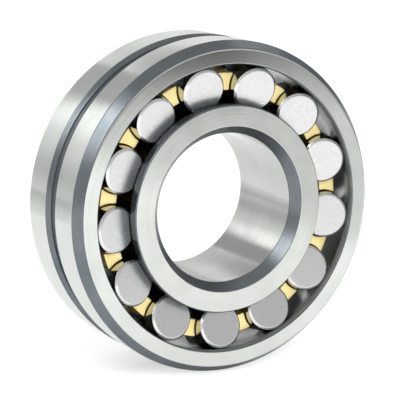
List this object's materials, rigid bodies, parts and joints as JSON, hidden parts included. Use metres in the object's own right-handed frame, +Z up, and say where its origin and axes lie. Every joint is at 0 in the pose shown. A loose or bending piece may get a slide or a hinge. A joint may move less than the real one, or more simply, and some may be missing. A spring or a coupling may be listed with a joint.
{
  "type": "spherical roller bearing",
  "caption": "Double row self-aligning spherical roller bearing with cylindrical bore, machined brass cage, loose guide ring and lubrication groove.",
  "frame": {"origin": "centre of the spherical raceway, on the bearing axis and midway between the ring faces", "axes": "+Y along the bearing axis from the seen face (front, at -Y) to the other face; +Z up; X across"},
  "size_m": [0.1, 0.036, 0.1],
  "materials": {
    "ring_steel": "ground bearing steel, fine turned grain",
    "roller_steel": "fine ground, satin ends",
    "cage_brass": "machined, satin",
    "guide_iron": "sintered, turned"
  },
  "bodies": {
    "outer_ring": {"outer_ring": "ring_steel"},
    "guide_ring": {"guide_ring": "guide_iron"},
    "inner_ring": {"inner_ring": "ring_steel"},
    "cage": {"cage": "cage_brass"},
    "front_roller_01": {"front_roller_01": "roller_steel"},
    "front_roller_02": {"front_roller_02": "roller_steel"},
    "front_roller_03": {"front_roller_03": "roller_steel"},
    "front_roller_04": {"front_roller_04": "roller_steel"},
    "front_roller_05": {"front_roller_05": "roller_steel"},
    "front_roller_06": {"front_roller_06": "roller_steel"},
    "front_roller_07": {"front_roller_07": "roller_steel"},
    "front_roller_08": {"front_roller_08": "roller_steel"},
    "front_roller_09": {"front_roller_09": "roller_steel"},
    "front_roller_10": {"front_roller_10": "roller_steel"},
    "front_roller_11": {"front_roller_11": "roller_steel"},
    "front_roller_12": {"front_roller_12": "roller_steel"},
    "front_roller_13": {"front_roller_13": "roller_steel"},
    "rear_roller_01": {"rear_roller_01": "roller_steel"},
    "rear_roller_02": {"rear_roller_02": "roller_steel"},
    "rear_roller_03": {"rear_roller_03": "roller_steel"},
    "rear_roller_04": {"rear_roller_04": "roller_steel"},
    "rear_roller_05": {"rear_roller_05": "roller_steel"},
    "rear_roller_06": {"rear_roller_06": "roller_steel"},
    "rear_roller_07": {"rear_roller_07": "roller_steel"},
    "rear_roller_08": {"rear_roller_08": "roller_steel"},
    "rear_roller_09": {"rear_roller_09": "roller_steel"},
    "rear_roller_10": {"rear_roller_10": "roller_steel"},
    "rear_roller_11": {"rear_roller_11": "roller_steel"},
    "rear_roller_12": {"rear_roller_12": "roller_steel"},
    "rear_roller_13": {"rear_roller_13": "roller_steel"}
  },
  "joints": [
    {"name": "alignment", "type": "hinge", "parent": "outer_ring", "child": "guide_ring", "pos_m": [0, 0, 0], "axis": [1, 0, 0], "range_deg": [-3, 3]},
    {"name": "inner_ring_spin", "type": "hinge", "parent": "guide_ring", "child": "inner_ring", "pos_m": [0, 0, 0], "axis": [0, 1, 0], "continuous": true},
    {"name": "cage_orbit", "type": "hinge", "parent": "guide_ring", "child": "cage", "pos_m": [0, 0, 0], "axis": [0, 1, 0], "continuous": true},
    {"name": "front_roller_01_spin", "type": "hinge", "parent": "cage", "child": "front_roller_01", "pos_m": [0.01044, -0.00933, 0.03592], "axis": [0.0675, 0.9703, 0.2323], "continuous": true},
    {"name": "front_roller_02_spin", "type": "hinge", "parent": "cage", "child": "front_roller_02", "pos_m": [-0.00745, -0.00933, 0.03666], "axis": [-0.0482, 0.9703, 0.2371], "continuous": true},
    {"name": "front_roller_03_spin", "type": "hinge", "parent": "cage", "child": "front_roller_03", "pos_m": [-0.02363, -0.00933, 0.02899], "axis": [-0.1529, 0.9703, 0.1875], "continuous": true},
    {"name": "front_roller_04_spin", "type": "hinge", "parent": "cage", "child": "front_roller_04", "pos_m": [-0.0344, -0.00933, 0.01469], "axis": [-0.2225, 0.9703, 0.095], "continuous": true},
    {"name": "front_roller_05_spin", "type": "hinge", "parent": "cage", "child": "front_roller_05", "pos_m": [-0.03729, -0.00933, -0.00298], "axis": [-0.2412, 0.9703, -0.0193], "continuous": true},
    {"name": "front_roller_06_spin", "type": "hinge", "parent": "cage", "child": "front_roller_06", "pos_m": [-0.03163, -0.00933, -0.01997], "axis": [-0.2046, 0.9703, -0.1291], "continuous": true},
    {"name": "front_roller_07_spin", "type": "hinge", "parent": "cage", "child": "front_roller_07", "pos_m": [-0.01873, -0.00933, -0.03238], "axis": [-0.1211, 0.9703, -0.2094], "continuous": true},
    {"name": "front_roller_08_spin", "type": "hinge", "parent": "cage", "child": "front_roller_08", "pos_m": [-0.00154, -0.00933, -0.03737], "axis": [-0.0099, 0.9703, -0.2417], "continuous": true},
    {"name": "front_roller_09_spin", "type": "hinge", "parent": "cage", "child": "front_roller_09", "pos_m": [0.01601, -0.00933, -0.03381], "axis": [0.1035, 0.9703, -0.2186], "continuous": true},
    {"name": "front_roller_10_spin", "type": "hinge", "parent": "cage", "child": "front_roller_10", "pos_m": [0.02988, -0.00933, -0.0225], "axis": [0.1933, 0.9703, -0.1455], "continuous": true},
    {"name": "front_roller_11_spin", "type": "hinge", "parent": "cage", "child": "front_roller_11", "pos_m": [0.03692, -0.00933, -0.00603], "axis": [0.2388, 0.9703, -0.039], "continuous": true},
    {"name": "front_roller_12_spin", "type": "hinge", "parent": "cage", "child": "front_roller_12", "pos_m": [0.03549, -0.00933, 0.01182], "axis": [0.2295, 0.9703, 0.0764], "continuous": true},
    {"name": "front_roller_13_spin", "type": "hinge", "parent": "cage", "child": "front_roller_13", "pos_m": [0.02593, -0.00933, 0.02696], "axis": [0.1677, 0.9703, 0.1743], "continuous": true},
    {"name": "rear_roller_01_spin", "type": "hinge", "parent": "cage", "child": "rear_roller_01", "pos_m": [0.00154, 0.00933, 0.03737], "axis": [-0.0099, 0.9703, -0.2417], "continuous": true},
    {"name": "rear_roller_02_spin", "type": "hinge", "parent": "cage", "child": "rear_roller_02", "pos_m": [-0.01601, 0.00933, 0.03381], "axis": [0.1035, 0.9703, -0.2186], "continuous": true},
    {"name": "rear_roller_03_spin", "type": "hinge", "parent": "cage", "child": "rear_roller_03", "pos_m": [-0.02988, 0.00933, 0.0225], "axis": [0.1933, 0.9703, -0.1455], "continuous": true},
    {"name": "rear_roller_04_spin", "type": "hinge", "parent": "cage", "child": "rear_roller_04", "pos_m": [-0.03692, 0.00933, 0.00603], "axis": [0.2388, 0.9703, -0.039], "continuous": true},
    {"name": "rear_roller_05_spin", "type": "hinge", "parent": "cage", "child": "rear_roller_05", "pos_m": [-0.03549, 0.00933, -0.01182], "axis": [0.2295, 0.9703, 0.0764], "continuous": true},
    {"name": "rear_roller_06_spin", "type": "hinge", "parent": "cage", "child": "rear_roller_06", "pos_m": [-0.02593, 0.00933, -0.02696], "axis": [0.1677, 0.9703, 0.1743], "continuous": true},
    {"name": "rear_roller_07_spin", "type": "hinge", "parent": "cage", "child": "rear_roller_07", "pos_m": [-0.01044, 0.00933, -0.03592], "axis": [0.0675, 0.9703, 0.2323], "continuous": true},
    {"name": "rear_roller_08_spin", "type": "hinge", "parent": "cage", "child": "rear_roller_08", "pos_m": [0.00745, 0.00933, -0.03666], "axis": [-0.0482, 0.9703, 0.2371], "continuous": true},
    {"name": "rear_roller_09_spin", "type": "hinge", "parent": "cage", "child": "rear_roller_09", "pos_m": [0.02363, 0.00933, -0.02899], "axis": [-0.1529, 0.9703, 0.1875], "continuous": true},
    {"name": "rear_roller_10_spin", "type": "hinge", "parent": "cage", "child": "rear_roller_10", "pos_m": [0.0344, 0.00933, -0.01469], "axis": [-0.2225, 0.9703, 0.095], "continuous": true},
    {"name": "rear_roller_11_spin", "type": "hinge", "parent": "cage", "child": "rear_roller_11", "pos_m": [0.03729, 0.00933, 0.00298], "axis": [-0.2412, 0.9703, -0.0193], "continuous": true},
    {"name": "rear_roller_12_spin", "type": "hinge", "parent": "cage", "child": "rear_roller_12", "pos_m": [0.03163, 0.00933, 0.01997], "axis": [-0.2046, 0.9703, -0.1291], "continuous": true},
    {"name": "rear_roller_13_spin", "type": "hinge", "parent": "cage", "child": "rear_roller_13", "pos_m": [0.01873, 0.00933, 0.03238], "axis": [-0.1211, 0.9703, -0.2094], "continuous": true}
  ],
  "couplings": [
    {"joint": "cage_orbit", "follows": "inner_ring_spin", "ratio": 0.40662},
    {"joint": "front_roller_01_spin", "follows": "inner_ring_spin", "ratio": -2.507},
    {"joint": "front_roller_02_spin", "follows": "inner_ring_spin", "ratio": -2.507},
    {"joint": "front_roller_03_spin", "follows": "inner_ring_spin", "ratio": -2.507},
    {"joint": "front_roller_04_spin", "follows": "inner_ring_spin", "ratio": -2.507},
    {"joint": "front_roller_05_spin", "follows": "inner_ring_spin", "ratio": -2.507},
    {"joint": "front_roller_06_spin", "follows": "inner_ring_spin", "ratio": -2.507},
    {"joint": "front_roller_07_spin", "follows": "inner_ring_spin", "ratio": -2.507},
    {"joint": "front_roller_08_spin", "follows": "inner_ring_spin", "ratio": -2.507},
    {"joint": "front_roller_09_spin", "follows": "inner_ring_spin", "ratio": -2.507},
    {"joint": "front_roller_10_spin", "follows": "inner_ring_spin", "ratio": -2.507},
    {"joint": "front_roller_11_spin", "follows": "inner_ring_spin", "ratio": -2.507},
    {"joint": "front_roller_12_spin", "follows": "inner_ring_spin", "ratio": -2.507},
    {"joint": "front_roller_13_spin", "follows": "inner_ring_spin", "ratio": -2.507},
    {"joint": "rear_roller_01_spin", "follows": "inner_ring_spin", "ratio": -2.507},
    {"joint": "rear_roller_02_spin", "follows": "inner_ring_spin", "ratio": -2.507},
    {"joint": "rear_roller_03_spin", "follows": "inner_ring_spin", "ratio": -2.507},
    {"joint": "rear_roller_04_spin", "follows": "inner_ring_spin", "ratio": -2.507},
    {"joint": "rear_roller_05_spin", "follows": "inner_ring_spin", "ratio": -2.507},
    {"joint": "rear_roller_06_spin", "follows": "inner_ring_spin", "ratio": -2.507},
    {"joint": "rear_roller_07_spin", "follows": "inner_ring_spin", "ratio": -2.507},
    {"joint": "rear_roller_08_spin", "follows": "inner_ring_spin", "ratio": -2.507},
    {"joint": "rear_roller_09_spin", "follows": "inner_ring_spin", "ratio": -2.507},
    {"joint": "rear_roller_10_spin", "follows": "inner_ring_spin", "ratio": -2.507},
    {"joint": "rear_roller_11_spin", "follows": "inner_ring_spin", "ratio": -2.507},
    {"joint": "rear_roller_12_spin", "follows": "inner_ring_spin", "ratio": -2.507},
    {"joint": "rear_roller_13_spin", "follows": "inner_ring_spin", "ratio": -2.507}
  ]
}
